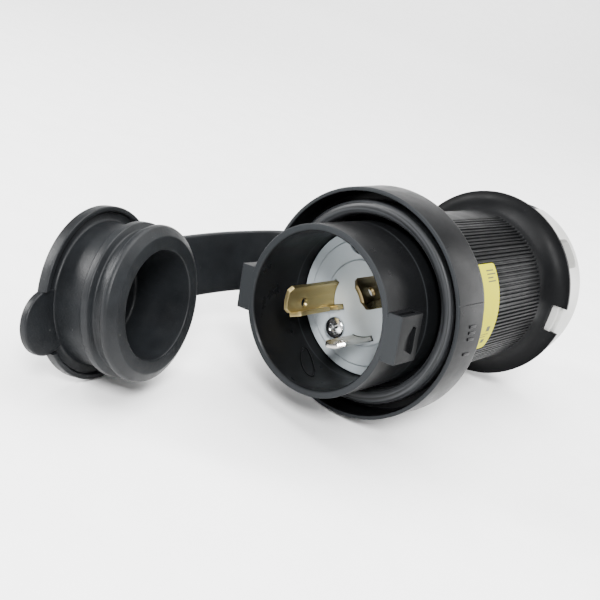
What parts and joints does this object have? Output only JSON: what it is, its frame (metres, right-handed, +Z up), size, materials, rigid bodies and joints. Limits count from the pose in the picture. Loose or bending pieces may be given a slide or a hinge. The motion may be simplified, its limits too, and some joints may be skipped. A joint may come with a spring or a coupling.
{
  "type": "locking shore power plug",
  "caption": "Watertight locking plug for a shore power cord, with a safety shroud, a sealing collar, a ribbed barrel, a cord clamp and a rubber closure cap on a strap.",
  "frame": {"origin": "centre of the blade face", "axes": "-Y out of the blade face along the plug's axis, +Z up as the plug lies on its collar and its cap"},
  "size_m": [0.1087, 0.2306, 0.0857],
  "materials": {
    "black_plastic": "moulded black, semi-gloss",
    "barrel_plastic": "moulded black, fine ribs, matte",
    "face_nylon": "pale grey nylon, satin",
    "white_nylon": "white nylon, satin",
    "jaw_plastic": "dark grey nylon, matte",
    "seal_rubber": "grey sealing rubber",
    "cap_rubber": "dark grey rubber, matte",
    "brass": "drawn brass",
    "bronze": "darkened brass",
    "nickel": "nickel plated",
    "steel": "zinc plated steel",
    "green_screw": "green dyed screw",
    "label": "printed yellow label"
  },
  "bodies": {
    "plug": {"shroud_housing": "black_plastic", "collar_gasket": "seal_rubber", "blade_carrier": "face_nylon", "terminal_block": "white_nylon", "ground_blade": "brass", "hot_blade": "bronze", "neutral_blade": "nickel", "ground_wire_clamp": "brass", "ground_terminal_screw": "green_screw", "hot_wire_clamp": "brass", "hot_terminal_screw": "brass", "neutral_wire_clamp": "brass", "neutral_terminal_screw": "nickel", "face_screw_centre": "steel", "face_screw_edge": "steel", "barrel": "barrel_plastic", "rating_label": "label", "cord_grommet": "cap_rubber", "clamp_body": "white_nylon", "assembly_screw_1": "steel", "assembly_screw_2": "steel", "tether_ring": "cap_rubber", "strap_root": "cap_rubber"},
    "upper_jaw": {"clamp_jaw_upper": "jaw_plastic", "clamp_screw_1": "steel", "clamp_screw_2": "steel"},
    "lower_jaw": {"clamp_jaw_lower": "jaw_plastic", "clamp_nut_1": "steel", "clamp_nut_2": "steel"},
    "bend": {"strap_bend": "cap_rubber"},
    "run": {"strap_run": "cap_rubber"},
    "tip": {"strap_tip": "cap_rubber"},
    "cap": {"closure_cap": "cap_rubber"}
  },
  "joints": [
    {"name": "cap_swing", "type": "hinge", "parent": "run", "child": "tip", "pos_m": [-0.0595, -0.044, -0.01328], "axis": [-0.272, 0, 0.9623], "range_deg": [0, 60.19], "stiffness_Nm_per_rad": 0.02},
    {"name": "strap_swing", "type": "hinge", "parent": "plug", "child": "bend", "pos_m": [-0.03935, 0.0191, -0.00489], "axis": [-0.272, 0, 0.9623], "range_deg": [0, 37.23], "stiffness_Nm_per_rad": 0.02},
    {"name": "strap_bow", "type": "hinge", "parent": "bend", "child": "run", "pos_m": [-0.0613, 0.0048, -0.01109], "axis": [-0.272, 0, 0.9623], "range_deg": [-20.83, 0], "stiffness_Nm_per_rad": 0.02},
    {"name": "cap_press", "type": "slide", "parent": "tip", "child": "cap", "axis": [0.9361, 0.2317, 0.2646], "range_m": [0, 0.0223]},
    {"name": "jaw_upper_slide", "type": "slide", "parent": "plug", "child": "upper_jaw", "axis": [0.4661, 0, -0.8847], "range_m": [0, 0.004]},
    {"name": "jaw_lower_slide", "type": "slide", "parent": "plug", "child": "lower_jaw", "axis": [-0.4661, 0, 0.8847], "range_m": [0, 0.004]}
  ],
  "couplings": [
    {"joint": "strap_swing", "follows": "cap_swing", "ratio": 0.61843},
    {"joint": "strap_bow", "follows": "cap_swing", "ratio": -0.34579},
    {"joint": "jaw_lower_slide", "follows": "jaw_upper_slide", "ratio": 1}
  ]
}
